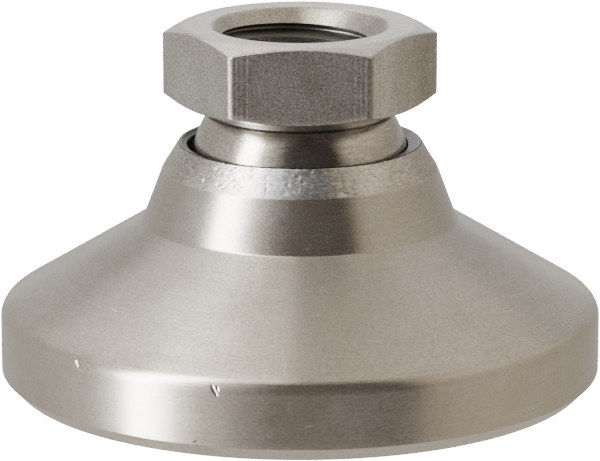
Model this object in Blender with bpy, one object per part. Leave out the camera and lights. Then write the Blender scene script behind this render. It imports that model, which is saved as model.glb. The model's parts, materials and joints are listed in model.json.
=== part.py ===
"""Tapped swivel leveling foot, all stainless steel.

A round turned base holds a ball under a lip that is rolled over it. The ball is one piece
with a hexagon, and a threaded hole runs down through the hexagon into the ball.
Metres, +Z up. The origin is the middle of the base's underside.
"""

import math

import bmesh
import bpy
from mathutils import Vector

# Base, turned from round bar
BASE_RADIUS = 0.0238
UNDERSIDE_CHAMFER = 0.00115
RIM_HEIGHT = 0.00616
RIM_ROUND = 0.0013
COLLAR_FOOT_RADIUS = 0.01245
COLLAR_FOOT_HEIGHT = 0.0131
COLLAR_FOOT_ROUND = 0.0006
COLLAR_TOP_RADIUS = 0.0109
COLLAR_TOP_HEIGHT = 0.0172
LIP_RADIUS = 0.00955
LIP_HEIGHT = 0.01942
LIP_ROUND = 0.00025

# Ball and seat
BALL_RADIUS = 0.0087
BALL_CENTRE_HEIGHT = 0.0169
SEAT_CLEARANCE = 0.00015
MOUTH_HEIGHT = 0.0191
BALL_TOP_HEIGHT = 0.02155
NECK_RADIUS = 0.0071
BALL_SPLIT_HEIGHT = 0.0107
SPLIT_GAP = 0.0003

# Hexagon
HEX_ACROSS_FLATS = 0.01885
HEX_UNDERSIDE_HEIGHT = 0.0225
HEX_TOP_HEIGHT = 0.0287
HEX_FACE_RADIUS = 0.0090
HEX_CHAMFER_ANGLE = math.radians(20.5)

# Half-inch thread, 13 turns to the inch, in a drilled and countersunk hole
THREAD_MAJOR_RADIUS = 0.00635
THREAD_PITCH = 0.0254 / 13
DRILL_RADIUS = 0.00545
DRILL_DEPTH = 0.0132
DRILL_POINT_HALF_ANGLE = math.radians(59)
THREAD_DEPTH = 0.0122
THREAD_START = 0.00039
COUNTERSINK_RADIUS = 0.0070
COUNTERSINK_HALF_ANGLE = math.radians(45)

SEGMENTS = 48


def clear_scene():
    for old in list(bpy.data.objects):
        bpy.data.objects.remove(old, do_unlink=True)


def steel(name, color, roughness):
    material = bpy.data.materials.new(name)
    material.use_nodes = True
    shader = material.node_tree.nodes["Principled BSDF"]
    shader.inputs["Base Color"].default_value = (*color, 1.0)
    shader.inputs["Metallic"].default_value = 1.0
    shader.inputs["Roughness"].default_value = roughness
    material.diffuse_color = (*color, 1.0)
    return material


def sphere_arc(radius, low_height, high_height, steps):
    """Points of a sphere about the ball's centre, from one height up or down to another."""
    start = math.asin((low_height - BALL_CENTRE_HEIGHT) / radius)
    end = math.asin((high_height - BALL_CENTRE_HEIGHT) / radius)
    angles = [start + (end - start) * step / steps for step in range(steps + 1)]
    return [(radius * math.cos(a), BALL_CENTRE_HEIGHT + radius * math.sin(a)) for a in angles]


def rounded_corner(before, corner, after, radius, steps):
    """Arc that rounds an outline's corner between its two neighbours."""
    corner = Vector(corner)
    to_before = (Vector(before) - corner).normalized()
    to_after = (Vector(after) - corner).normalized()
    half_angle = to_before.angle(to_after) / 2
    centre = corner + (to_before + to_after).normalized() * (radius / math.sin(half_angle))
    start = corner + to_before * (radius / math.tan(half_angle)) - centre
    end = corner + to_after * (radius / math.tan(half_angle)) - centre
    sweep = start.angle_signed(end)
    points = []
    for step in range(steps + 1):
        turn = -sweep * step / steps
        points.append((
            centre.x + start.x * math.cos(turn) - start.y * math.sin(turn),
            centre.y + start.x * math.sin(turn) + start.y * math.cos(turn),
        ))
    return points


def new_object(name, mesh, parent=None, material=None):
    obj = bpy.data.objects.new(name, mesh)
    bpy.context.scene.collection.objects.link(obj)
    obj.parent = parent
    if material is not None:
        mesh.materials.append(material)
    return obj


def column_angle(column):
    return 2 * math.pi * column / SEGMENTS


def circle(radius, height):
    """Level ring of points about the axis, or one point on it."""
    count = SEGMENTS if radius > 0 else 1
    return [(radius, column_angle(column), height) for column in range(count)]


def hexagon_edge(direction, face_height):
    """Edge between the flats and an end's conical chamfer; direction is +1 for the top end."""
    ring = []
    for column in range(SEGMENTS):
        angle = column_angle(column)
        from_flat = (angle % math.radians(60)) - math.radians(30)
        radius = HEX_ACROSS_FLATS / 2 / math.cos(from_flat)
        drop = (radius - HEX_FACE_RADIUS) * math.tan(HEX_CHAMFER_ANGLE)
        ring.append((radius, angle, face_height - direction * drop))
    return ring


def lofted(name, rings, parent=None, material=None, origin_height=0.0):
    """Closed solid through rings about the axis, from its lower pole to its upper pole."""
    mesh = bpy.data.meshes.new(name)
    bm = bmesh.new()
    loops = []
    for ring in rings:
        loops.append([
            bm.verts.new((
                radius * math.cos(angle),
                radius * math.sin(angle),
                height - origin_height,
            ))
            for radius, angle, height in ring
        ])
    for low, high in zip(loops, loops[1:]):
        for column in range(SEGMENTS):
            following = (column + 1) % SEGMENTS
            corners = [
                low[column % len(low)],
                low[following % len(low)],
                high[following % len(high)],
                high[column % len(high)],
            ]
            bm.faces.new(dict.fromkeys(corners))
    bm.to_mesh(mesh)
    bm.free()
    mesh.shade_smooth()
    mesh.set_sharp_from_angle(angle=math.radians(20))
    return new_object(name, mesh, parent, material)


def make_base(material):
    rim_low = (BASE_RADIUS, UNDERSIDE_CHAMFER)
    rim_corner = (BASE_RADIUS, RIM_HEIGHT)
    foot = (COLLAR_FOOT_RADIUS, COLLAR_FOOT_HEIGHT)
    collar_top = (COLLAR_TOP_RADIUS, COLLAR_TOP_HEIGHT)
    lip = (LIP_RADIUS, LIP_HEIGHT)
    seat_radius = BALL_RADIUS + SEAT_CLEARANCE
    seat_floor = BALL_CENTRE_HEIGHT - seat_radius
    seat = sphere_arc(seat_radius, MOUTH_HEIGHT, seat_floor, 13)
    outline = [(0, 0), (BASE_RADIUS - UNDERSIDE_CHAMFER, 0), rim_low]
    outline += rounded_corner(rim_low, rim_corner, foot, RIM_ROUND, 3)
    outline += rounded_corner(rim_corner, foot, collar_top, COLLAR_FOOT_ROUND, 2)
    outline += [collar_top]
    outline += rounded_corner(collar_top, lip, seat[0], LIP_ROUND, 3)
    outline += seat[:-1]
    outline += [(0, seat_floor)]
    return lofted("base_pad", [circle(*point) for point in outline], material=material)


def make_ball_end(parent, material):
    """Lowest slice of the ball, below the threaded hole."""
    bottom = BALL_CENTRE_HEIGHT - BALL_RADIUS
    top = BALL_SPLIT_HEIGHT - SPLIT_GAP
    arc = sphere_arc(BALL_RADIUS, bottom, top, 4)
    outline = [(0, bottom)] + arc[1:] + [(0, top)]
    rings = [circle(*point) for point in outline]
    return lofted("ball_lower_end", rings, parent, material, BALL_CENTRE_HEIGHT)


def thread_profile():
    """One pitch of the thread's groove, from its lower crest edge to its upper one."""
    root_half = THREAD_PITCH / 16
    crest_half = root_half + (THREAD_MAJOR_RADIUS - DRILL_RADIUS) * math.tan(math.radians(30))
    return [
        (DRILL_RADIUS, -crest_half),
        (THREAD_MAJOR_RADIUS, -root_half),
        (THREAD_MAJOR_RADIUS, root_half),
        (DRILL_RADIUS, crest_half),
    ]


def make_hole_cutter(parent):
    """Drilled hole with a right-hand helical groove, as one closed solid."""
    profile = thread_profile()
    count = len(profile)
    turns = math.ceil(THREAD_DEPTH / THREAD_PITCH) + 1
    groove_foot = HEX_TOP_HEIGHT - THREAD_DEPTH + THREAD_START
    shoulder = HEX_TOP_HEIGHT - DRILL_DEPTH
    point = shoulder - DRILL_RADIUS / math.tan(DRILL_POINT_HALF_ANGLE)
    mesh = bpy.data.meshes.new("hole_cutter")
    bm = bmesh.new()

    def vertex(radius, column, height):
        angle = column_angle(column + 0.5)
        return bm.verts.new((
            radius * math.cos(angle),
            radius * math.sin(angle),
            height - BALL_CENTRE_HEIGHT,
        ))

    rows = []
    for turn in range(turns):
        for radius, offset in profile:
            rows.append([
                vertex(radius, column, groove_foot + offset + THREAD_PITCH * (turn + column / SEGMENTS))
                for column in range(SEGMENTS)
            ])
    tip = vertex(0, 0, point)
    wall_foot = [vertex(DRILL_RADIUS, column, shoulder) for column in range(SEGMENTS)]

    # Each row joins the row one pitch above it where the helix closes a turn.
    for index, (low, high) in enumerate(zip(rows, rows[1:])):
        for column in range(SEGMENTS - 1):
            bm.faces.new((low[column], low[column + 1], high[column + 1], high[column]))
        if index + count + 1 < len(rows):
            bm.faces.new((low[-1], rows[index + count][0], rows[index + count + 1][0], high[-1]))

    # Plain wall and drill point below the groove, and the groove's square end.
    for column in range(SEGMENTS - 1):
        low = (wall_foot[column], wall_foot[column + 1])
        bm.faces.new((*low, rows[0][column + 1], rows[0][column]))
    groove_end = [rows[index][0] for index in range(count)]
    last_column = [wall_foot[-1], wall_foot[0], groove_end[0], groove_end[-1], rows[count][0]]
    for first, second in zip(last_column, last_column[1:]):
        bm.faces.new((rows[0][-1], first, second))
    bm.faces.new(groove_end)
    for column in range(SEGMENTS):
        bm.faces.new((tip, wall_foot[(column + 1) % SEGMENTS], wall_foot[column]))

    # The upper end is in the open, above the hexagon.
    rim = rows[-1] + [rows[-1 - index][-1] for index in range(1, count + 1)]
    cap = vertex(0, 0, groove_foot + THREAD_PITCH * turns)
    for first, second in zip(rim, rim[1:] + rim[:1]):
        bm.faces.new((first, second, cap))
    bmesh.ops.triangulate(bm, faces=bm.faces)
    bmesh.ops.recalc_face_normals(bm, faces=bm.faces)
    bm.to_mesh(mesh)
    bm.free()
    cutter = new_object("hole_cutter", mesh, parent)
    cutter.hide_render = True
    cutter.display_type = 'WIRE'
    return cutter


def make_socket(parent, material):
    """Ball, neck and hexagon in one piece, countersunk, with the threaded hole cut."""
    underside = [
        (NECK_RADIUS, BALL_TOP_HEIGHT),
        (NECK_RADIUS, HEX_UNDERSIDE_HEIGHT),
        (HEX_FACE_RADIUS, HEX_UNDERSIDE_HEIGHT),
    ]
    sunk_radius = DRILL_RADIUS * 0.9
    sunk = (COUNTERSINK_RADIUS - sunk_radius) / math.tan(COUNTERSINK_HALF_ANGLE)
    top = [
        (HEX_FACE_RADIUS, HEX_TOP_HEIGHT),
        (COUNTERSINK_RADIUS, HEX_TOP_HEIGHT),
        (sunk_radius, HEX_TOP_HEIGHT - sunk),
        (0, HEX_TOP_HEIGHT - sunk),
    ]
    ball = sphere_arc(BALL_RADIUS, BALL_SPLIT_HEIGHT, BALL_TOP_HEIGHT, 9)
    rings = [circle(*point) for point in [(0, BALL_SPLIT_HEIGHT)] + ball + underside]
    rings.append(hexagon_edge(-1, HEX_UNDERSIDE_HEIGHT))
    rings.append(hexagon_edge(1, HEX_TOP_HEIGHT))
    rings += [circle(*point) for point in top]
    socket = lofted("tapped_ball_socket", rings, parent, material, BALL_CENTRE_HEIGHT)
    hole = socket.modifiers.new("threaded hole", 'BOOLEAN')
    hole.operation = 'DIFFERENCE'
    hole.solver = 'EXACT'
    hole.object = make_hole_cutter(parent)
    return socket


def make_pivot(name, parent=None):
    pivot = bpy.data.objects.new(name, None)
    bpy.context.scene.collection.objects.link(pivot)
    pivot.empty_display_size = BALL_RADIUS
    pivot.parent = parent
    return pivot


def main():
    clear_scene()
    make_base(steel("turned stainless", (0.46, 0.44, 0.42), 0.32))
    tilt_pivot = make_pivot("tilt_pivot")
    tilt_pivot.location.z = BALL_CENTRE_HEIGHT
    spin_pivot = make_pivot("spin_pivot", tilt_pivot)
    make_ball_end(tilt_pivot, steel("ball stainless", (0.50, 0.48, 0.46), 0.25))
    make_socket(spin_pivot, steel("drawn stainless", (0.42, 0.40, 0.38), 0.38))


main()
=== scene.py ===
"""Looks of the tapped swivel leveling foot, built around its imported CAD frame.

Metres, +Z up, in the CAD's own frame. The base's turned surface, the rolled lip and the
one-piece tapped ball socket replace the coarse CAD solids at the same sizes.
"""

import json
import math

import bmesh
import bpy
import numpy as np
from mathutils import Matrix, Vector, noise


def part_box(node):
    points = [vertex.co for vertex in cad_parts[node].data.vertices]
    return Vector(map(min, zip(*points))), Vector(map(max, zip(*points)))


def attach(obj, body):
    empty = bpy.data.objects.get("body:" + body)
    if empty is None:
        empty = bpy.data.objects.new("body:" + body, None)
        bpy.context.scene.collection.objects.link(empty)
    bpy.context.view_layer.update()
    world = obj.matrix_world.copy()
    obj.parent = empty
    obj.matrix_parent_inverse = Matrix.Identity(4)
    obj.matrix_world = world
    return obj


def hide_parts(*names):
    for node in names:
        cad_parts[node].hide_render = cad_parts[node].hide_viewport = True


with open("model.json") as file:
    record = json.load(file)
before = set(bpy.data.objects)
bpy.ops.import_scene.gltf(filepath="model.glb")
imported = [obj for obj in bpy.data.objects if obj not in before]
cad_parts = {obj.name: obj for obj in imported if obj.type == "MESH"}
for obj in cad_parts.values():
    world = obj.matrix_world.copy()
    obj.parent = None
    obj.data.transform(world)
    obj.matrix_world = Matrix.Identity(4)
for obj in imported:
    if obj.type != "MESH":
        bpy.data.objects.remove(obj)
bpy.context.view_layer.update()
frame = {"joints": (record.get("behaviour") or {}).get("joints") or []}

base_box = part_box("base_pad")
socket_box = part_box("tapped_ball_socket")
ball_end_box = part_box("ball_lower_end")

# Sizes read from the frame
BASE_RADIUS = base_box[1].x
LIP_HEIGHT = base_box[1].z
HEX_TOP = socket_box[1].z
HEX_ACROSS_FLATS = 2 * socket_box[1].y
BALL_CENTRE = frame["joints"][0]["pos_m"][2]
BALL_RADIUS = BALL_CENTRE - ball_end_box[0].z
BALL_SPLIT = socket_box[0].z
BALL_END_TOP = ball_end_box[1].z

# The base's outline between those sizes
UNDERSIDE_CHAMFER = 0.00115
RIM_HEIGHT = 0.00616
RIM_ROUND = 0.0013
COLLAR_FOOT = (0.01245, 0.0131)
COLLAR_TOP = (0.0109, 0.0172)
LIP_RADIUS = 0.00955
SEAT_RADIUS = BALL_RADIUS + 0.00015
MOUTH_HEIGHT = 0.0191
MOUTH_RADIUS = SEAT_RADIUS * 0.9685

# The socket's outline between those sizes; the plain share of the hexagon's chamfer is what
# its rounded edge leaves
BALL_TOP = 0.02155
NECK_RADIUS = 0.0071
HEX_UNDERSIDE = 0.0225
HEX_FACE_RADIUS = 0.0090
HEX_CHAMFER_RISE = math.tan(math.radians(20.5))
HEX_CORNER_ROUND = 0.0006
HEX_EDGE_ROUND = 0.00007
HEX_CHAMFER_PLAIN = 0.86
HEX_ROUND_START = math.hypot(
    HEX_ACROSS_FLATS / 2, (HEX_ACROSS_FLATS / 2 - HEX_CORNER_ROUND) * math.tan(math.pi / 6))
COUNTERSINK_RADIUS = 0.0070
COUNTERSINK_SLOPE = math.tan(math.radians(45))
DRILL_RADIUS = 0.00545
DRILL_DEPTH = 0.0132
DRILL_POINT_SLOPE = math.tan(math.radians(59))
THREAD_MAJOR_RADIUS = 0.00635
THREAD_PITCH = 0.0254 / 13
THREAD_DEPTH = 0.0122
THREAD_START = 0.00039

BASE_COLUMNS = 508
BALL_END_COLUMNS = 96
HOLE_COLUMNS = 144
SEAT_STEPS = 30
BALL_STEPS = 44
BALL_END_STEPS = 12

# How far apart the base's rows are on the lip, across the nicks, under the base and elsewhere
LIP_ROWS = 0.00011
NICK_ROWS = 0.00010
UNDERSIDE_ROWS = 0.006
BASE_ROWS = 0.0007
UNDERSIDE_BELOW = 0.001

# How the hexagon's columns are shared out, for each of its sides; the half angle is that of
# the round on a corner, seen from the axis
CORNER_HALF_ANGLE = math.radians(1.605)
CORNER_STEPS = 12
EDGE_STEPS = 22
EDGE_WIDTH = 0.0016
FLAT_STEPS = 24

# Lengthwise grooves left by the drawing die: distance from a corner, half width, depth
DIE_GROOVES = [
    (0.00044, 0.00008, 0.000034),
    (0.00076, 0.00007, 0.000020),
    (0.00120, 0.00008, 0.000024),
]

# Nicks on the base's rim, all of them between two heights: azimuth from the front in degrees,
# height, length, half width, depth, and lean to the left in degrees
NICKS_FROM = 0.0046
NICKS_TO = 0.0068
NICKS = [
    (-45.3, 0.00582, 0.00070, 0.00009, 0.00008, 52),
    (-15.6, 0.00553, 0.00078, 0.00008, 0.00008, 34),
    (-15.0, 0.00570, 0.00034, 0.00007, 0.00005, 26),
    (131.0, 0.00560, 0.00080, 0.00010, 0.00008, -30),
]

# Where the rolled lip is most pitted: azimuth and reach in degrees
WORN_PLACES = [(4, 16), (-36, 12), (58, 14), (160, 25)]

# Wear of the rolled lip: the heights between which it sets in, how deep each kind is, and how
# often each kind's noise changes in a metre, along the three axes where these differ
LIP_WEAR_FROM = 0.0171
LIP_WEAR_FULL = 0.0177
LIP_WAVE = 0.000030
LIP_WAVE_SCALE = 420
LIP_RIPPLE = 0.000009
LIP_RIPPLE_SCALE = (900, 900, 3000)
LIP_PIT = 0.00012
LIP_PIT_SCALE = (2900, 2900, 4600)
LIP_PATCH_SCALE = 340

# How much further than the seat the mouth is open: all round, by side, and unevenly. The
# left side's place and reach are in degrees from the front. It opens between two heights.
MOUTH_OPEN_FROM = 0.0172
MOUTH_OPEN_FULL = 0.0190
MOUTH_OPEN = 0.00012
MOUTH_OPEN_LEFT = 0.00028
MOUTH_LEFT_AZIMUTH = 262
MOUTH_LEFT_REACH = 34
MOUTH_OPEN_FRONT = 0.00014
MOUTH_CLOSED_RIGHT = 0.00015
MOUTH_WAVE = 0.00006


# ---------------------------------------------------------------- outlines

def rounded_corner(before, corner, after, radius, steps=5):
    """Arc that rounds an outline's corner between its two neighbours."""
    corner = Vector(corner)
    to_before = (Vector(before) - corner).normalized()
    to_after = (Vector(after) - corner).normalized()
    half_angle = to_before.angle(to_after) / 2
    centre = corner + (to_before + to_after).normalized() * (radius / math.sin(half_angle))
    start = corner + to_before * (radius / math.tan(half_angle)) - centre
    end = corner + to_after * (radius / math.tan(half_angle)) - centre
    sweep = -start.angle_signed(end)
    points = []
    for step in range(steps + 1):
        turn = sweep * step / steps
        points.append((
            centre.x + start.x * math.cos(turn) - start.y * math.sin(turn),
            centre.y + start.x * math.sin(turn) + start.y * math.cos(turn),
        ))
    return points


def rounded_outline(corners):
    """Outline through (radius, height, rounding) corners; no rounding keeps a corner sharp."""
    points = []
    for index, (radius, height, rounding) in enumerate(corners):
        if rounding == 0:
            points.append((radius, height))
            continue
        before = corners[index - 1][:2]
        after = corners[index + 1][:2]
        points += rounded_corner(before, (radius, height), after, rounding)
    return points


def ball_arc(radius, low, high, steps):
    """Points of a sphere about the ball's centre, from one height to another."""
    start = math.asin((low - BALL_CENTRE) / radius)
    end = math.asin((high - BALL_CENTRE) / radius)
    angles = [start + (end - start) * step / steps for step in range(steps + 1)]
    return [(radius * math.cos(a), BALL_CENTRE + radius * math.sin(a)) for a in angles]


def subdivided(outline, spacing):
    """Adds points along an outline so that none are further apart than spacing allows."""
    points = [outline[0]]
    for (r0, z0), (r1, z1) in zip(outline, outline[1:]):
        length = math.hypot(r1 - r0, z1 - z0)
        count = max(1, math.ceil(length / spacing((r0 + r1) / 2, (z0 + z1) / 2)))
        for step in range(1, count + 1):
            points.append((r0 + (r1 - r0) * step / count, z0 + (z1 - z0) * step / count))
    return points


# ---------------------------------------------------------------- meshes

def lofted(name, rings, angles):
    """Closed surface through rings of (radii, heights), from its lower pole to its upper one."""
    columns = len(angles)
    cos, sin = np.cos(angles), np.sin(angles)
    vertices = []
    starts = []
    for radii, heights in rings:
        starts.append(len(vertices))
        if np.ndim(radii) == 0:
            vertices.append((0.0, 0.0, float(heights)))
            continue
        vertices += list(zip((radii * cos).tolist(), (radii * sin).tolist(), heights.tolist()))
    faces = []
    last = len(rings) - 1
    for index in range(last):
        low, high = starts[index], starts[index + 1]
        for column in range(columns):
            following = (column + 1) % columns
            if index == 0:
                faces.append((low, high + following, high + column))
            elif index == last - 1:
                faces.append((low + column, low + following, high))
            else:
                faces.append((low + column, low + following, high + following, high + column))
    mesh = bpy.data.meshes.new(name)
    mesh.from_pydata(vertices, [], faces)
    mesh.validate()
    mesh.shade_smooth()
    obj = bpy.data.objects.new(name, mesh)
    bpy.context.scene.collection.objects.link(obj)
    return obj


def level_rings(outline, columns):
    """Rings of an outline turned about the axis; a point on the axis stays one point."""
    rings = []
    for radius, height in outline:
        if radius <= 0:
            rings.append((0.0, height))
        else:
            rings.append((np.full(columns, radius), np.full(columns, height)))
    return rings


def smooth_step(value, low, high):
    """Zero at low and one at high, easing in and out."""
    share = min(1.0, max(0.0, (value - low) / (high - low)))
    return share * share * (3 - 2 * share)


def turn_from(angle, azimuth):
    """Angle past a place that is given by its azimuth from the front, in degrees."""
    return (angle - math.radians(azimuth - 90) + math.pi) % (2 * math.pi) - math.pi


def nick_depth(angle, height):
    """How far the rim is pushed in at a point by the nicks."""
    total = 0.0
    for azimuth, middle, length, half_width, depth, lean in NICKS:
        along = height - middle
        turn = turn_from(angle, azimuth)
        if abs(turn) > 0.1 or abs(along) > 2 * length:
            continue
        across = turn * BASE_RADIUS
        lean_cos, lean_sin = math.cos(math.radians(lean)), math.sin(math.radians(lean))
        u = across * lean_cos + along * lean_sin
        v = along * lean_cos - across * lean_sin
        total += depth * math.exp(-((u / half_width) ** 2) - (v / (length / 2)) ** 4)
    return total


def lip_wear(angle, radius, height):
    """How far the rolled lip stands out: waves from the rolling, less its pits."""
    share = smooth_step(height, LIP_WEAR_FROM, LIP_WEAR_FULL)
    if share == 0:
        return 0.0
    point = Vector((radius * math.cos(angle), radius * math.sin(angle), height))
    wave = noise.noise(point * LIP_WAVE_SCALE) * LIP_WAVE
    ripple = noise.noise(point * Vector(LIP_RIPPLE_SCALE)) * LIP_RIPPLE
    pit = noise.noise(point * Vector(LIP_PIT_SCALE) + Vector((7, 3, 1)))
    pit = max(0.0, pit - 0.05) ** 2
    patch = smooth_step(noise.noise(point * LIP_PATCH_SCALE + Vector((1, 9, 4))), 0.05, 0.5)
    for azimuth, reach in WORN_PLACES:
        turn = turn_from(angle, azimuth)
        patch += math.exp(-((turn / math.radians(reach)) ** 2))
    return share * (wave + ripple - LIP_PIT * pit * min(1.0, patch))


def mouth_opening(angle):
    """How much further the lip's inner edge is open than the seat, round the mouth."""
    from_left = turn_from(angle, MOUTH_LEFT_AZIMUTH)
    left = math.exp(-((from_left / math.radians(MOUTH_LEFT_REACH)) ** 2))
    wave = noise.noise(Vector((2.2 * math.cos(angle), 2.2 * math.sin(angle), 3.7)))
    front = max(0.0, -math.sin(angle))
    right = math.exp(-((math.atan2(math.sin(angle), math.cos(angle)) / 0.7) ** 2))
    return (MOUTH_OPEN + MOUTH_OPEN_LEFT * left + MOUTH_OPEN_FRONT * front
            - MOUTH_CLOSED_RIGHT * right + MOUTH_WAVE * wave)


def base_angles():
    """Even columns round the base, with closer ones where the nicks are."""
    angles = set(np.linspace(0, 2 * math.pi, BASE_COLUMNS, endpoint=False).tolist())
    for nick in NICKS:
        middle = nick[0] - 90
        for step in range(-10, 11):
            angles.add(math.radians((middle + step * 0.13) % 360))
    return np.array(sorted(angles))


def base_row_spacing(radius, height):
    """How far apart the base's rows are: close on the lip and across the nicks."""
    if height > 0.0168 and radius > 0.0085:
        return LIP_ROWS
    if height < UNDERSIDE_BELOW:
        return UNDERSIDE_ROWS
    if NICKS_FROM < height < NICKS_TO and radius > 0.02:
        return NICK_ROWS
    return BASE_ROWS


def make_base():
    """Underside, rim, cone, collar, rolled lip and ball seat as one closed surface."""
    corners = [
        (0, 0, 0),
        (BASE_RADIUS - UNDERSIDE_CHAMFER, 0, 0.0002),
        (BASE_RADIUS, UNDERSIDE_CHAMFER, 0.00012),
        (BASE_RADIUS, NICKS_FROM, 0),
        (BASE_RADIUS, RIM_HEIGHT, RIM_ROUND),
        (*COLLAR_FOOT, 0.0004),
        (*COLLAR_TOP, 0.0009),
        (LIP_RADIUS, LIP_HEIGHT + 0.00005, 0.00025),
        (MOUTH_RADIUS, MOUTH_HEIGHT, 0),
    ]
    seat = ball_arc(SEAT_RADIUS, MOUTH_HEIGHT, BALL_CENTRE - SEAT_RADIUS, SEAT_STEPS)
    outline = rounded_outline(corners)[:-1] + seat[:-1]
    outline = subdivided(outline, base_row_spacing) + [(0, BALL_CENTRE - SEAT_RADIUS)]
    angles = base_angles()
    rings = []
    for index, (radius, height) in enumerate(outline):
        if radius <= 0:
            rings.append((0.0, height))
            continue
        before = Vector(outline[index - 1])
        after = Vector(outline[min(index + 1, len(outline) - 1)])
        along = (after - before).normalized()
        outward = Vector((along.y, -along.x))
        radii = np.full(len(angles), radius)
        heights = np.full(len(angles), height)
        inside = index > len(outline) - len(seat) - 1
        inner = 1.0 if inside else smooth_step(radius, LIP_RADIUS, MOUTH_RADIUS)
        inner *= smooth_step(height, MOUTH_OPEN_FROM, MOUTH_OPEN_FULL)
        for column, angle in enumerate(angles):
            if not inside and height > UNDERSIDE_BELOW:
                move = lip_wear(angle, radius, height) - nick_depth(angle, height)
                radii[column] += outward.x * move
                heights[column] += outward.y * move
            if inner > 0:
                radii[column] += inner * mouth_opening(angle)
        rings.append((radii, np.minimum(heights, LIP_HEIGHT)))
    return lofted("base_turned", rings, angles)


def make_ball_end():
    """Lowest slice of the ball, cut off flat, hidden in the base."""
    bottom = BALL_CENTRE - BALL_RADIUS
    arc = ball_arc(BALL_RADIUS, bottom, BALL_END_TOP, BALL_END_STEPS)
    outline = [(0, bottom)] + arc[1:] + [(0, BALL_END_TOP)]
    angles = np.linspace(0, 2 * math.pi, BALL_END_COLUMNS, endpoint=False)
    ball_end = lofted("ball_end_surface", level_rings(outline, len(angles)), angles)
    ball_end.data.set_sharp_from_angle(angle=math.radians(30))
    return ball_end


def hexagon_radii(angles):
    """Distance from the axis to the hexagon's flats and the rounds on its corners."""
    from_corner = np.abs((angles + math.pi / 6) % (math.pi / 3) - math.pi / 6)
    flat = HEX_ACROSS_FLATS / 2 / np.cos(math.pi / 6 - from_corner)
    centre = (HEX_ACROSS_FLATS / 2 - HEX_CORNER_ROUND) / math.cos(math.pi / 6)
    reach = HEX_CORNER_ROUND ** 2 - (centre * np.sin(from_corner)) ** 2
    round_corner = centre * np.cos(from_corner) + np.sqrt(np.maximum(reach, 0))
    flat_end = math.pi / 6 - math.atan(centre / 2 / (HEX_ACROSS_FLATS / 2))
    return np.where(from_corner < flat_end, round_corner, flat)


def die_marks(angles):
    """Depth of the grooves that the drawing die leaves along the flats near the corners."""
    from_corner = np.abs((angles + math.pi / 6) % (math.pi / 3) - math.pi / 6)
    distance = HEX_ACROSS_FLATS / math.sqrt(3) * from_corner
    depth = np.zeros(len(angles))
    for place, half_width, deepest in DIE_GROOVES:
        share = 1 + 0.5 * np.sin(7 * angles + 900 * place)
        depth += deepest * share * np.exp(-((distance - place) / half_width) ** 2)
    return depth


def softened(first, corner, last, steps=3):
    """Rings that round an edge whose corner differs from column to column."""
    rings = []
    for step in range(steps + 1):
        t = step / steps
        rings.append(tuple(
            (1 - t) ** 2 * a + 2 * t * (1 - t) * b + t * t * c
            for a, b, c in zip(first, corner, last)
        ))
    return rings


def blended(first, last, share):
    """Ring at a share of the way from one ring to another."""
    return tuple(a + (b - a) * share for a, b in zip(first, last))


def hexagon_rings(angles):
    """Underside chamfer, flats and top chamfer, between two level rings."""
    columns = len(angles)
    radii = hexagon_radii(angles) - die_marks(angles)
    drop = (radii - HEX_FACE_RADIUS) * HEX_CHAMFER_RISE
    face = np.full(columns, HEX_FACE_RADIUS)
    low_face = (face, np.full(columns, HEX_UNDERSIDE))
    low_edge = (radii, HEX_UNDERSIDE + drop)
    high_edge = (radii, HEX_TOP - drop)
    high_face = (face, np.full(columns, HEX_TOP))
    height = high_edge[1] - low_edge[1]
    edge_share = HEX_EDGE_ROUND / height
    low_start = blended(low_face, low_edge, HEX_CHAMFER_PLAIN)
    low_end = (radii, low_edge[1] + height * edge_share)
    high_start = (radii, high_edge[1] - height * edge_share)
    high_end = blended(high_face, high_edge, HEX_CHAMFER_PLAIN)
    rings = [blended(low_face, low_start, share) for share in (0.0, 0.35, 0.7)]
    rings += softened(low_start, low_edge, low_end)
    rings += [blended(low_end, high_start, step / 12) for step in range(1, 12)]
    rings += softened(high_start, high_edge, high_end)
    rings += [blended(high_end, high_face, share) for share in (0.3, 0.65, 1.0)]
    return rings


def socket_angles():
    """Column angles that crowd together at the hexagon's corners and beside them."""
    corner = CORNER_HALF_ANGLE
    edge = EDGE_WIDTH / (HEX_ACROSS_FLATS / math.sqrt(3))
    flat = math.pi / 3 - 2 * corner - 2 * edge
    side = []
    for start, width, steps in (
        (-corner, 2 * corner, CORNER_STEPS),
        (corner, edge, EDGE_STEPS),
        (corner + edge, flat, FLAT_STEPS),
        (corner + edge + flat, edge, EDGE_STEPS),
    ):
        side += [start + width * step / steps for step in range(steps)]
    return np.array([math.pi / 3 * index + angle for index in range(6) for angle in side])


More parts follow.
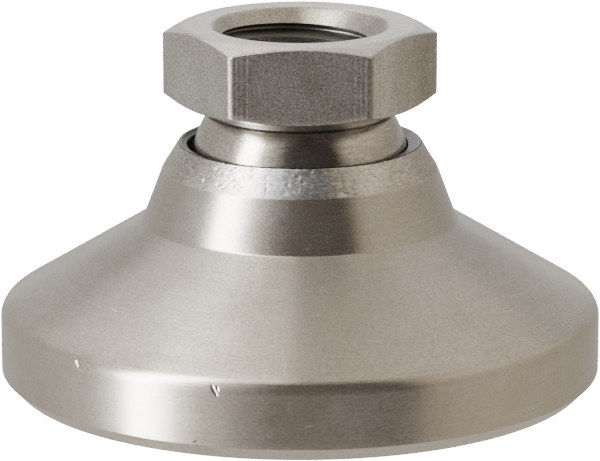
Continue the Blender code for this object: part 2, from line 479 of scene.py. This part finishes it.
def make_hole_cutter():
    """Drilled hole with a right-hand helical groove, as one closed solid."""
    root_half = THREAD_PITCH / 16
    crest_half = root_half + (THREAD_MAJOR_RADIUS - DRILL_RADIUS) * math.tan(math.radians(30))
    root_round = root_half / math.tan(math.radians(30))
    profile = [(DRILL_RADIUS, -crest_half)]
    for step in range(-4, 5):
        turn = math.radians(15 * step)
        profile.append((THREAD_MAJOR_RADIUS - root_round * (1 - math.cos(turn)),
                        root_round * math.sin(turn)))
    profile.append((DRILL_RADIUS, crest_half))
    count = len(profile)
    turns = math.ceil(THREAD_DEPTH / THREAD_PITCH) + 1
    groove_foot = HEX_TOP - THREAD_DEPTH + THREAD_START
    shoulder = HEX_TOP - DRILL_DEPTH
    point = shoulder - DRILL_RADIUS / DRILL_POINT_SLOPE
    bm = bmesh.new()

    def vertex(radius, column, height):
        angle = 2 * math.pi * (column + 0.5) / HOLE_COLUMNS
        return bm.verts.new((radius * math.cos(angle), radius * math.sin(angle), height))

    rows = []
    for turn in range(turns):
        for radius, offset in profile:
            foot = groove_foot + offset + THREAD_PITCH * turn
            rows.append([
                vertex(radius, column, foot + THREAD_PITCH * column / HOLE_COLUMNS)
                for column in range(HOLE_COLUMNS)
            ])
    tip = vertex(0, 0, point)
    wall_foot = [vertex(DRILL_RADIUS, column, shoulder) for column in range(HOLE_COLUMNS)]
    for index, (low, high) in enumerate(zip(rows, rows[1:])):
        for column in range(HOLE_COLUMNS - 1):
            bm.faces.new((low[column], low[column + 1], high[column + 1], high[column]))
        if index + count + 1 < len(rows):
            bm.faces.new((low[-1], rows[index + count][0], rows[index + count + 1][0], high[-1]))
    for column in range(HOLE_COLUMNS - 1):
        low = (wall_foot[column], wall_foot[column + 1])
        bm.faces.new((*low, rows[0][column + 1], rows[0][column]))
    groove_end = [rows[index][0] for index in range(count)]
    last_column = [wall_foot[-1], wall_foot[0], groove_end[0], groove_end[-1], rows[count][0]]
    for first, second in zip(last_column, last_column[1:]):
        bm.faces.new((rows[0][-1], first, second))
    bm.faces.new(groove_end)
    for column in range(HOLE_COLUMNS):
        bm.faces.new((tip, wall_foot[(column + 1) % HOLE_COLUMNS], wall_foot[column]))
    rim = rows[-1] + [rows[-1 - index][-1] for index in range(1, count + 1)]
    cap = vertex(0, 0, groove_foot + THREAD_PITCH * turns)
    for first, second in zip(rim, rim[1:] + rim[:1]):
        bm.faces.new((first, second, cap))
    bmesh.ops.triangulate(bm, faces=bm.faces)
    bmesh.ops.recalc_face_normals(bm, faces=bm.faces)
    mesh = bpy.data.meshes.new("hole_cutter")
    bm.to_mesh(mesh)
    bm.free()
    cutter = bpy.data.objects.new("hole_cutter", mesh)
    bpy.context.scene.collection.objects.link(cutter)
    return cutter


def make_socket():
    """Ball, neck and hexagon in one piece, countersunk, with the threaded hole cut."""
    angles = socket_angles()
    columns = len(angles)
    ball = ball_arc(BALL_RADIUS, BALL_SPLIT, BALL_TOP, BALL_STEPS)
    neck = rounded_outline([
        (*ball[-1], 0),
        (NECK_RADIUS, BALL_TOP + 0.00012, 0.00012),
        (NECK_RADIUS, HEX_UNDERSIDE, 0.0002),
        (HEX_FACE_RADIUS - 0.0003, HEX_UNDERSIDE, 0),
    ])
    sunk_radius = DRILL_RADIUS * 0.9
    sunk = (COUNTERSINK_RADIUS - sunk_radius) / COUNTERSINK_SLOPE
    mouth = rounded_outline([
        (HEX_FACE_RADIUS, HEX_TOP, 0),
        (COUNTERSINK_RADIUS, HEX_TOP, 0.0008),
        (sunk_radius, HEX_TOP - sunk, 0),
        (0, HEX_TOP - sunk, 0),
    ])
    body = subdivided(ball + neck[1:], lambda radius, height: 0.0003)
    rings = level_rings([(0, BALL_SPLIT)] + body, columns)
    rings += hexagon_rings(angles)
    rings += level_rings(subdivided(mouth[:-1], lambda radius, height: 0.0006)[1:], columns)
    rings += [(0.0, mouth[-1][1])]
    socket = lofted("socket_blank", rings, angles)
    cutter = make_hole_cutter()
    hole = socket.modifiers.new("threaded hole", 'BOOLEAN')
    hole.operation = 'DIFFERENCE'
    hole.solver = 'EXACT'
    hole.object = cutter
    bpy.context.view_layer.update()
    graph = bpy.context.evaluated_depsgraph_get()
    mesh = bpy.data.meshes.new_from_object(socket.evaluated_get(graph))
    bpy.data.objects.remove(socket)
    bpy.data.objects.remove(cutter)
    mesh.name = "socket_surface"
    mesh.shade_smooth()
    mesh.set_sharp_from_angle(angle=math.radians(28))
    finished = bpy.data.objects.new("socket_surface", mesh)
    bpy.context.scene.collection.objects.link(finished)
    return finished


# ---------------------------------------------------------------- materials

def add_node(tree, kind, inputs=None, **settings):
    """Adds a node; an input that is another node's output is linked, any other is set."""
    node = tree.nodes.new(kind)
    for name, value in settings.items():
        setattr(node, name, value)
    for name, value in (inputs or {}).items():
        if isinstance(value, bpy.types.NodeSocket):
            tree.links.new(value, node.inputs[name])
        else:
            node.inputs[name].default_value = value
    return node


def calculate(tree, operation, first, second=0.0):
    """Outcome of an arithmetic operation."""
    node = add_node(tree, 'ShaderNodeMath', {0: first, 1: second}, operation=operation)
    return node.outputs[0]


def product(tree, first, second):
    """One value times another."""
    return calculate(tree, 'MULTIPLY', first, second)


def remapped(tree, value, low, high, to_low, to_high):
    """Value carried from one range to another and kept within it."""
    node = add_node(tree, 'ShaderNodeMapRange', {
        "Value": value, "From Min": low, "From Max": high, "To Min": to_low, "To Max": to_high,
    })
    return node.outputs[0]


def noise_at(tree, vector, scale, detail=2.0):
    """Noise between nothing and one; scale is how often it changes along the vector."""
    node = add_node(tree, 'ShaderNodeTexNoise', {
        "Vector": vector, "Scale": scale, "Detail": detail, "Roughness": 0.55,
    })
    return node.outputs["Fac"]


def mixed(tree, share, first, second):
    """Colour that goes from first to second as share goes from nothing to one."""
    node = add_node(tree, 'ShaderNodeMix', data_type='RGBA')
    for index, value in ((0, share), (6, first), (7, second)):
        if isinstance(value, bpy.types.NodeSocket):
            tree.links.new(value, node.inputs[index])
        else:
            node.inputs[index].default_value = value
    return node.outputs[2]


def turned_coordinates(tree, position, slant, run, pitch):
    """Vector that changes fast across the turning marks and slowly along them."""
    right, back, up = add_node(tree, 'ShaderNodeSeparateXYZ', {0: position}).outputs
    squares = calculate(tree, 'ADD', product(tree, right, right), product(tree, back, back))
    radius = calculate(tree, 'MAXIMUM', calculate(tree, 'SQRT', squares), 0.0005)
    east = product(tree, calculate(tree, 'DIVIDE', right, radius), run)
    north = product(tree, calculate(tree, 'DIVIDE', back, radius), run)
    down = calculate(tree, 'ADD', up, product(tree, radius, slant))
    across = calculate(tree, 'DIVIDE', down, pitch)
    return add_node(tree, 'ShaderNodeCombineXYZ', {0: east, 1: north, 2: across}).outputs[0]


def around_one(tree, value, amount):
    """Factor that swings about one as a noise swings about a half."""
    return remapped(tree, value, 0.0, 1.0, 1 - amount / 2, 1 + amount / 2)


def bumped(tree, height, distance, below=None):
    """Normal of a height pattern, on top of the bump below it."""
    inputs = {"Height": height, "Distance": distance, "Strength": 1.0}
    if below is not None:
        inputs["Normal"] = below
    return add_node(tree, 'ShaderNodeBump', inputs).outputs[0]


def scratch_share(tree, position, start, end, half_width):
    """One on the line between two points, falling to nothing half_width away from it."""
    start, end = Vector(start), Vector(end)
    offset = add_node(tree, 'ShaderNodeVectorMath', {0: position, 1: start},
                      operation='SUBTRACT').outputs[0]
    run = add_node(tree, 'ShaderNodeVectorMath', {0: offset, 1: end - start},
                   operation='DOT_PRODUCT').outputs["Value"]
    share = remapped(tree, run, 0.0, (end - start).length_squared, 0.0, 1.0)
    nearest = add_node(tree, 'ShaderNodeVectorMath', {0: end - start, "Scale": share},
                       operation='SCALE').outputs[0]
    distance = add_node(tree, 'ShaderNodeVectorMath', {0: offset, 1: nearest},
                        operation='DISTANCE').outputs["Value"]
    return remapped(tree, distance, 0.4 * half_width, half_width, 1.0, 0.0)


def on_outline(azimuth, radius, height):
    """Point at an azimuth from the front, in degrees."""
    turn = math.radians(azimuth)
    return (radius * math.sin(turn), -radius * math.cos(turn), height)


# How often the finishes' patterns change in a metre
CLOUD_SCALE = 230.0
DRAWN_SCALE = (7000.0, 7000.0, 260.0)
PIT_SCALE = 2600.0
PIT_GROUP_SCALE = 420.0


def steel(name, color, roughness, grain, lines=None, blotch=0.25, anisotropy=0.0,
          drawn=0.0, pits=0.0, scratches=(), patches=(), outer=None):
    """Bare stainless steel with tumbled grain and, where it was turned, circular marks.

    grain is (size, tone, depth, slant, run), and a run of nothing makes it even all round.
    lines, the turning marks, is (slant, pitch, tone, depth). drawn is the tone of lengthwise
    marks, and pits how dark the pits are. scratches holds (start, end, half width, gain), and
    patches, of painted light and shade, (centre, reach, colour, strength). outer is (inner
    radius, outer radius, colour).
    """
    material = bpy.data.materials.new(name)
    material.use_nodes = True
    tree = material.node_tree
    shader = tree.nodes["Principled BSDF"]
    position = add_node(tree, 'ShaderNodeTexCoord').outputs["Object"]

    size, grain_tone, grain_depth, slant, run = grain
    if run:
        grains = noise_at(tree, turned_coordinates(tree, position, slant, run, size), 1.0, 1.0)
    else:
        grains = noise_at(tree, position, 1 / size, 1.0)
    clouds = noise_at(tree, position, CLOUD_SCALE, 3.0)
    tone = product(
        tree, around_one(tree, grains, grain_tone), around_one(tree, clouds, blotch))
    bump = bumped(tree, grains, grain_depth)
    if lines is not None:
        slant, pitch, line_tone, depth = lines
        marks = noise_at(tree, turned_coordinates(tree, position, slant, 5.0, pitch), 1.0, 3.0)
        tone = product(tree, tone, around_one(tree, marks, line_tone))
        bump = bumped(tree, marks, depth, bump)
    if drawn:
        stretched = add_node(tree, 'ShaderNodeMapping', {
            "Vector": position, "Scale": DRAWN_SCALE,
        }).outputs[0]
        marks = noise_at(tree, stretched, 1.0, 2.0)
        tone = product(tree, tone, around_one(tree, marks, drawn))
        bump = bumped(tree, marks, 0.000002, bump)
    if pits:
        pit = remapped(tree, noise_at(tree, position, PIT_SCALE, 2.0), 0.58, 0.72, 0.0, 1.0)
        where = noise_at(tree, position, PIT_GROUP_SCALE, 1.0)
        where = remapped(tree, where, 0.42, 0.58, 0.0, 1.0)
        pit = product(tree, pit, where)
        tone = product(tree, tone, remapped(tree, pit, 0, 1, 1, 1 - pits))
        bump = bumped(tree, pit, -0.0000285 * pits, bump)

    red, green, blue = color
    warm = (red * 1.015, green, blue * 0.97, 1)
    cool = (red * 0.99, green, blue * 1.02, 1)
    hue = mixed(tree, remapped(tree, clouds, 0.38, 0.62, 0.0, 1.0), warm, cool)
    if outer is not None:
        inner_radius, outer_radius, outer_color = outer
        flattened = add_node(tree, 'ShaderNodeVectorMath', {0: position, 1: (1, 1, 0)},
                             operation='MULTIPLY').outputs[0]
        radius = add_node(tree, 'ShaderNodeVectorMath', {0: flattened},
                          operation='LENGTH').outputs["Value"]
        share = remapped(tree, radius, inner_radius, outer_radius, 0.0, 1.0)
        hue = mixed(tree, share, hue, (*outer_color, 1))
    for start, end, half_width, gain in scratches:
        mark = scratch_share(tree, position, start, end, half_width)
        tone = product(tree, tone, remapped(tree, mark, 0, 1, 1, gain))
    for centre, reach, patch_color, strength in patches:
        away = add_node(tree, 'ShaderNodeVectorMath', {0: position, 1: Vector(centre)},
                        operation='DISTANCE').outputs["Value"]
        ragged = product(tree, clouds, -reach)
        edge = calculate(tree, 'ADD', away, calculate(tree, 'ADD', ragged, reach / 2))
        share = remapped(tree, edge, reach * 0.6, reach, strength, 0.0)
        hue = mixed(tree, share, hue, (*patch_color, 1))
    shade = add_node(tree, 'ShaderNodeVectorMath', {0: hue, "Scale": tone},
                     operation='SCALE').outputs[0]
    rough = calculate(tree, 'ADD', remapped(tree, clouds, 0.3, 0.7, -0.03, 0.03),
                      remapped(tree, grains, 0.3, 0.7, roughness - 0.015, roughness + 0.015))
    tree.links.new(shade, shader.inputs["Base Color"])
    tree.links.new(rough, shader.inputs["Roughness"])
    tree.links.new(bump, shader.inputs["Normal"])
    shader.inputs["Metallic"].default_value = 1.0
    if anisotropy:
        shader.inputs["Anisotropic"].default_value = anisotropy
        shader.inputs["Anisotropic Rotation"].default_value = 0.25
        tangent = add_node(tree, 'ShaderNodeTangent', direction_type='RADIAL', axis='Z')
        tree.links.new(tangent.outputs[0], shader.inputs["Tangent"])
    return material


def paint(obj, materials, choose):
    """Gives each face the material that choose picks from its centre and normal.

    A face's centre lies a little inside a curved surface, so choose allows small margins.
    """
    for material in materials:
        obj.data.materials.append(material)
    places = {material: index for index, material in enumerate(materials)}
    for polygon in obj.data.polygons:
        centre = polygon.center
        radius = math.hypot(centre.x, centre.y)
        polygon.material_index = places[choose(radius, centre.z, polygon.normal)]


STEEL_COLOR = (0.565, 0.53, 0.485)
WARM_STEEL = (0.65, 0.60, 0.53)
# Patch colours: a painted highlight, and a painted reflection of the dark room in front
BRIGHT_STEEL = (0.90, 0.85, 0.77)
BLUISH_STEEL = (0.38, 0.395, 0.415)
# Painted shade, laid as patches on the lip and on the right flat
SHADE_PATCH_STEEL = (0.34, 0.32, 0.29)
# Painted shade: the neck's colour, darkened for the shade under the hexagon, also laid on the ball
PAINTED_SHADE_STEEL = (0.215, 0.202, 0.187)
# Darker steel for the seat under the ball
SEAT_DARK_STEEL = (0.17, 0.17, 0.165)
# Painted shade: near black for the lip's inner edge, the dark gap under the ball
GAP_SHADE_STEEL = (0.105, 0.108, 0.10)

DRAWN_GRAIN = (0.00015, 1.7, 0.0000015, 0, 0)
HOLE_FINISH = dict(
    grain=(0.0002, 0.4, 0.000001, 0, 0), lines=(0.2, 0.0002, 0.2, 0.000001), blotch=0.1)


def finish_base(base):
    """Turned cone and collar, smoother rim, worn lip, and painted shade on the mouth's inner edge.
    """
    turned = steel(
        "turned_base", STEEL_COLOR, 0.25,
        grain=(0.00017, 0.75, 0.0000003, -0.6, 85.0),
        lines=(-0.6, 0.00021, 0.30, 0.0000009), blotch=0.26, anisotropy=0.85,
        outer=(0.0150, 0.0215, WARM_STEEL), pits=0.03,
        scratches=[
            (on_outline(-49.0, 19.1e-3, 9.03e-3), on_outline(-47.0, 19.2e-3, 8.97e-3), 9e-5, 1.9),
            (on_outline(-3.6, 20.5e-3, 8.18e-3), on_outline(-3.5, 21.6e-3, 7.50e-3), 1.1e-4, 1.16),
            (on_outline(-2.9, 21.8e-3, 7.38e-3), on_outline(-2.9, 22.8e-3, 6.77e-3), 1.1e-4, 1.25),
            (on_outline(-4.8, 21.2e-3, 7.75e-3), on_outline(-4.7, 22.3e-3, 7.08e-3), 1.0e-4, 1.14),
            (on_outline(-5.6, 19.0e-3, 9.09e-3), on_outline(-5.5, 19.9e-3, 8.54e-3), 1.0e-4, 1.12),
            (on_outline(14.5, 20.1e-3, 8.42e-3), on_outline(17.5, 20.3e-3, 8.30e-3), 8e-5, 1.15),
            (on_outline(2.4, 12.27e-3, 13.2e-3), on_outline(2.8, 12.2e-3, 13.7e-3), 9e-5, 1.8),
        ])
    rim = steel(
        "turned_rim", (0.63, 0.58, 0.513), 0.25,
        grain=(0.00017, 0.40, 0.0000002, -0.6, 85.0),
        lines=(-0.6, 0.00021, 0.20, 0.0000006), blotch=0.20, anisotropy=0.85, pits=0.045,
        scratches=[
            (on_outline(-44.9, 23.78e-3, 5.45e-3), on_outline(-43.9, 23.78e-3, 5.35e-3),
             9e-5, 1.35),
            (on_outline(-2.0, 23.8e-3, 4.9e-3), on_outline(-2.2, 23.8e-3, 4.2e-3), 7e-5, 1.3),
            (on_outline(1.0, 23.8e-3, 3.0e-3), on_outline(2.3, 23.8e-3, 3.1e-3), 7e-5, 1.6),
            (on_outline(-19.5, 23.8e-3, 1.4e-3), on_outline(-19.2, 23.8e-3, 1.5e-3), 1.1e-4, 0.3),
        ])
    rolled = steel(
        "rolled_lip", (0.61, 0.575, 0.53), 0.31,
        grain=(0.00016, 1.4, 0.0000034, -0.6, 30.0),
        lines=(-0.6, 0.00030, 0.5, 0.0000025), blotch=0.55, pits=0.42,
        scratches=[
            (on_outline(0.0, 9.86e-3, 18.9e-3), on_outline(-0.3, 10.6e-3, 17.7e-3), 6e-5, 2.0),
            (on_outline(5.2, 9.97e-3, 18.7e-3), on_outline(7.4, 9.97e-3, 18.75e-3), 6e-5, 1.8),
            (on_outline(34.0, 10.1e-3, 18.4e-3), on_outline(35.0, 10.1e-3, 18.4e-3), 1.2e-4, 0.4),
        ],
        # Painted light on the lip: a painted highlight at 19 degrees, painted shade at -54 and 78,
        # and a bluish painted reflection of the dark room in front at -1
        patches=[(on_outline(19.0, 10.2e-3, 18.3e-3), 0.0034, BRIGHT_STEEL, 0.45),
                 (on_outline(-54.0, 10.2e-3, 18.3e-3), 0.0040, SHADE_PATCH_STEEL, 0.45),
                 (on_outline(78.0, 10.2e-3, 18.3e-3), 0.0040, SHADE_PATCH_STEEL, 0.35),
                 (on_outline(-1.0, 10.2e-3, 18.3e-3), 0.0030, BLUISH_STEEL, 0.8)])
    seat = steel("ball_seat", SEAT_DARK_STEEL, 0.42, grain=(0.0003, 0.8, 0.000002, 0, 0))
    # Painted shade on the lip's upturned inner edge, which thickens the dark gap under the ball
    mouth = steel("painted_gap_shade", GAP_SHADE_STEEL, 0.34, grain=(0.00022, 2.2, 0.000005, 0, 0),
                  blotch=1.3)

    def choose(radius, height, normal):
        if height < RIM_HEIGHT:
            return rim
        if radius > LIP_RADIUS + 0.0001:
            return rolled if height > COLLAR_TOP[1] else turned
        # The upturned inner edge of the lip gets the painted shade
        if height > MOUTH_HEIGHT and normal.z > 0.72:
            return mouth
        return rolled if height > COLLAR_TOP[1] and normal.z > 0.2 else seat

    paint(base, [turned, rolled, seat, mouth, rim], choose)


def finish_socket(socket):
    """Drawn flats and corners, turned ends, ball and neck, and the cut thread."""
    flats = steel(
        "drawn_flats", (0.495, 0.475, 0.452), 0.32,
        grain=DRAWN_GRAIN, blotch=0.06, drawn=0.25)
    # The right flat is a lighter copy of the flats, painted light, with painted shade towards its
    # right corner
    right_corner = (0.0102, 0.0, 0.0252)
    right_flat = steel(
        "lit_right_flat", (0.72, 0.675, 0.625), 0.32,
        grain=DRAWN_GRAIN, blotch=0.06, drawn=0.25,
        patches=[(right_corner, 0.0080, SHADE_PATCH_STEEL, 0.55),
                 (right_corner, 0.0052, SHADE_PATCH_STEEL, 0.65)])
    ends = steel(
        "turned_ends", STEEL_COLOR, 0.26, grain=(0.00018, 1.35, 0.000001, 0, 0),
        lines=(0.7, 0.00019, 0.35, 0.0000015), blotch=0.2, anisotropy=0.6)
    # Turned ball; its patch is painted shade on its dark front, under the hexagon
    ball = steel(
        "turned_ball", STEEL_COLOR, 0.18, grain=(0.00015, 1.0, 0.0000008, -0.3, 35.0),
        lines=(-0.3, 0.00017, 1.1, 0.0000045), blotch=0.25, anisotropy=0.6,
        patches=[(on_outline(7.5, 8.2e-3, 18.8e-3), 0.0031, PAINTED_SHADE_STEEL, 0.75)])
    # The neck's dark colour is painted shade under the hexagon; its patch is painted light where
    # that shade ends
    neck = steel(
        "turned_neck", PAINTED_SHADE_STEEL, 0.34, grain=(0.00016, 1.0, 0.000002, -0.3, 35.0),
        lines=(-0.3, 0.00017, 0.8, 0.000004), blotch=0.3,
        patches=[(on_outline(45.0, 7.1e-3, 21.9e-3), 0.0021, STEEL_COLOR, 0.65)])
    # The cut thread's dark colour is painted shade inside the hole
    thread = steel("cut_thread", (0.21, 0.198, 0.188), 0.36, **HOLE_FINISH)
    bore = steel("drilled_bore", (0.52, 0.51, 0.505), 0.30, **HOLE_FINISH)
    corners = steel(
        "drawn_corners", (0.34, 0.325, 0.305), 0.44, grain=DRAWN_GRAIN, blotch=0.06, drawn=0.5)

    def choose(radius, height, normal):
        off_countersink = radius + (HEX_TOP - height) - COUNTERSINK_RADIUS
        if abs(off_countersink) < 0.00006 and 0.6 < normal.z < 0.8:
            return ends
        if height > BALL_SPLIT + 0.0001 and radius < THREAD_MAJOR_RADIUS + 0.00003:
            on_bore = radius < DRILL_RADIUS + 0.00002 and abs(normal.z) < 0.2
            return bore if on_bore else thread
        if height < BALL_TOP + 0.00005:
            return ball
        if height < HEX_UNDERSIDE + 0.00002:
            return neck
        if abs(normal.z) > 0.2:
            return ends
        if radius > HEX_ROUND_START - 0.00002:
            return corners
        # The flat facing front and right gets the lighter copy with painted light and shade
        return right_flat if normal.x > 0.8 and normal.y < 0 else flats

    paint(socket, [flats, ends, ball, neck, thread, bore, corners, right_flat], choose)


# ---------------------------------------------------------------- studio

KEY_LIGHT = 20.0
BACKDROP_GLOW = 20.0

CAMERA_PITCH = math.radians(14.48)
CAMERA_LENS = 258.4
CAMERA_DISTANCE = 14.36 * BASE_RADIUS
CAMERA_AIM_HEIGHT = 0.5032 * BASE_RADIUS

# Radiance of the studio's walls by azimuth from the front, in degrees
WALLS = [
    (-180, (0.58, 0.56, 0.53)),
    (-120, (0.60, 0.57, 0.53)),
    (-86, (0.85, 0.82, 0.78)),
    (-76, (2.20, 2.15, 2.05)),
    (-68, (KEY_LIGHT, KEY_LIGHT, KEY_LIGHT * 0.97)),
    (-61, (KEY_LIGHT, KEY_LIGHT, KEY_LIGHT * 0.97)),
    (-49, (2.20, 2.12, 2.02)),
    (-38, (0.85, 0.81, 0.76)),
    (-24, (0.36, 0.335, 0.32)),
    (-12, (0.185, 0.167, 0.157)),
    (12, (0.150, 0.134, 0.123)),
    (43, (0.108, 0.095, 0.085)),
    (52, (0.40, 0.35, 0.28)),
    (62, (0.50, 0.44, 0.35)),
    (80, (0.57, 0.505, 0.40)),
    (120, (0.50, 0.455, 0.378)),
    (150, (0.48, 0.445, 0.393)),
    (180, (0.58, 0.56, 0.53)),
]

# Radiance overhead, by how far the direction leans to the right
CEILING = [
    (-1.0, (0.80, 0.77, 0.73)),
    (-0.45, (0.90, 0.86, 0.81)),
    (-0.34, (2.10, 2.01, 1.88)),
    (-0.24, (1.25, 1.18, 1.07)),
    (-0.15, (0.90, 0.85, 0.78)),
    (-0.03, (0.96, 0.90, 0.81)),
    (-0.01, (0.63, 0.575, 0.50)),
    (0.40, (0.73, 0.665, 0.57)),
    (1.0, (0.60, 0.55, 0.46)),
]


def glow(red, green, blue):
    """Radiance as a share of the key light's, which the studio's colours are scaled by."""
    return (red / KEY_LIGHT, green / KEY_LIGHT, blue / KEY_LIGHT, 1)


def ramp(tree, value, stops, low, high):
    """Colour ramp whose stops of radiance lie between low and high."""
    node = add_node(tree, 'ShaderNodeValToRGB', {0: remapped(tree, value, low, high, 0, 1)})
    elements = node.color_ramp.elements
    while len(elements) < len(stops):
        elements.new(0.5)
    for element, (place, color) in zip(elements, stops):
        element.position = (place - low) / (high - low)
        element.color = glow(*color)
    return node.outputs[0]


def make_studio():
    """Softbox on the left, lit ceiling on the left, dark room in front, warm card right."""
    world = bpy.data.worlds.new("studio")
    bpy.context.scene.world = world
    world.use_nodes = True
    tree = world.node_tree
    tree.nodes.clear()

    # Azimuth of the direction looked in, which narrows with height and leans at the softbox
    direction = add_node(tree, 'ShaderNodeTexCoord').outputs["Generated"]
    right, back, up = add_node(tree, 'ShaderNodeSeparateXYZ', {0: direction}).outputs
    azimuth = calculate(tree, 'ARCTAN2', right, product(tree, back, -1.0))
    narrowing = remapped(tree, up, -0.25, 0.75, 180 / math.pi, 207 / math.pi)
    degrees = product(tree, azimuth, narrowing)
    lean = product(tree, remapped(tree, degrees, -60, -70, 0.0, 1.0),
                   remapped(tree, up, -0.25, 0.65, -4.0, 9.0))
    degrees = calculate(tree, 'ADD', degrees, lean)

    # Walls, paler behind the foot, with a warm card at the right and darkness above the camera
    walls = ramp(tree, degrees, WALLS, -180, 180)
    rear = remapped(tree, calculate(tree, 'ABSOLUTE', right), 0.31, 0.13, 0.0, 1.0)
    rear = product(tree, rear, remapped(tree, back, 0.5, 0.9, 0.0, 1.0))
    rear_up = product(tree, rear, remapped(tree, up, -0.05, 0.25, 0.0, 1.0))
    walls = mixed(tree, rear_up, walls, glow(1.55, 1.53, 1.50))
    front = remapped(tree, back, -0.45, -0.75, 0.0, 1.0)
    shaded = product(tree, front, remapped(tree, up, 0.56, 0.72, 0.0, 0.85))
    inner = product(tree, remapped(tree, right, -0.32, 0.0, 0.0, 1.0),
                    remapped(tree, right, 0.57, 0.63, 1.0, 0.0))
    shaded = product(tree, shaded, inner)
    card = product(tree, remapped(tree, right, 0.63, 0.73, 0.0, 1.0),
                   remapped(tree, up, 0.2, 0.6, 0.0, 0.6))
    walls = mixed(tree, card, walls, glow(1.1, 0.98, 0.80))
    walls = mixed(tree, shaded, walls, glow(0.02, 0.017, 0.015))

    # Ceiling, with a softbox at the near left and a card at the back
    ceiling = ramp(tree, right, CEILING, -1, 1)
    near_left = product(tree, remapped(tree, right, -0.02, -0.06, 0.0, 1.0),
                        remapped(tree, back, 0.20, -0.09, 0.0, 1.0))
    softbox = mixed(tree, remapped(tree, right, -0.06, -0.42, 0.0, 1.0),
                    glow(1.9, 1.75, 1.50), glow(4.2, 4.05, 3.7))
    ceiling = mixed(tree, near_left, ceiling, softbox)
    behind = product(tree, remapped(tree, back, 0.50, 0.62, 0.0, 1.0),
                     remapped(tree, calculate(tree, 'ABSOLUTE', right), 0.34, 0.26, 0.0, 1.0))
    rear_card = mixed(tree, remapped(tree, right, -0.12, 0.12, 0.0, 1.0),
                      glow(2.7, 2.6, 2.45), glow(1.45, 1.33, 1.20))
    ceiling = mixed(tree, behind, ceiling, rear_card)
    # The ceiling comes down further at the back, and the ground is even
    tipped = product(tree, calculate(tree, 'MINIMUM', back, 0.38), 0.45)
    overhead = calculate(tree, 'ADD', up, tipped)
    color = mixed(tree, remapped(tree, overhead, 0.66, 0.82, 0.0, 1.0), walls, ceiling)
    ground = glow(0.70, 0.66, 0.61)
    color = mixed(tree, remapped(tree, up, -0.35, -0.60, 0.0, 1.0), color, ground)

    lit = add_node(tree, 'ShaderNodeBackground', {"Color": color, "Strength": KEY_LIGHT})
    plain = add_node(tree, 'ShaderNodeBackground', {
        "Color": (1, 1, 1, 1), "Strength": BACKDROP_GLOW,
    })
    seen = add_node(tree, 'ShaderNodeLightPath').outputs["Is Camera Ray"]
    mix = add_node(tree, 'ShaderNodeMixShader', {
        0: seen, 1: lit.outputs[0], 2: plain.outputs[0],
    })
    add_node(tree, 'ShaderNodeOutputWorld', {0: mix.outputs[0]})


def make_floor():
    """Plain white floor, bright to the eye only, so that the steel mirrors the room."""
    mesh = bpy.data.meshes.new("floor")
    size, level = 3.0, -0.00002
    mesh.from_pydata(
        [(-size, -size, level), (size, -size, level), (size, size, level), (-size, size, level)],
        [], [(0, 1, 2, 3)])
    floor = bpy.data.objects.new("floor", mesh)
    bpy.context.scene.collection.objects.link(floor)
    material = bpy.data.materials.new("pale_floor")
    material.use_nodes = True
    tree = material.node_tree
    tree.nodes.clear()
    bright = add_node(tree, 'ShaderNodeEmission', {
        "Color": (1, 1, 1, 1), "Strength": BACKDROP_GLOW,
    })
    open_air = add_node(tree, 'ShaderNodeBsdfTransparent')
    seen = add_node(tree, 'ShaderNodeLightPath').outputs["Is Camera Ray"]
    mix = add_node(tree, 'ShaderNodeMixShader', {
        0: seen, 1: open_air.outputs[0], 2: bright.outputs[0],
    })
    add_node(tree, 'ShaderNodeOutputMaterial', {0: mix.outputs[0]})
    mesh.materials.append(material)


def make_camera():
    """Long lens at the photograph's angle, a little above the foot."""
    data = bpy.data.cameras.new("camera")
    data.sensor_width = 36.0
    data.lens = CAMERA_LENS
    data.clip_start = 0.01
    camera = bpy.data.objects.new("camera", data)
    bpy.context.scene.collection.objects.link(camera)
    camera.location = (0, -CAMERA_DISTANCE * math.cos(CAMERA_PITCH),
                       CAMERA_AIM_HEIGHT + CAMERA_DISTANCE * math.sin(CAMERA_PITCH))
    camera.rotation_euler = (math.pi / 2 - CAMERA_PITCH, 0, 0)
    bpy.context.scene.camera = camera


# ---------------------------------------------------------------- assembly

base = make_base()
finish_base(base)
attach(base, "base")
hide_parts("base_pad")

ball_end = make_ball_end()
ball_end.data.materials.append(steel(
    "parted_ball", STEEL_COLOR, 0.26, grain=(0.00016, 1.0, 0.0000012, -0.3, 35.0),
    lines=(0.3, 0.00017, 0.6, 0.000003), anisotropy=0.5))
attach(ball_end, "tilting_ball")
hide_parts("ball_lower_end")

socket = make_socket()
finish_socket(socket)
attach(socket, "socket")
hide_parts("tapped_ball_socket")

make_studio()
make_floor()
make_camera()
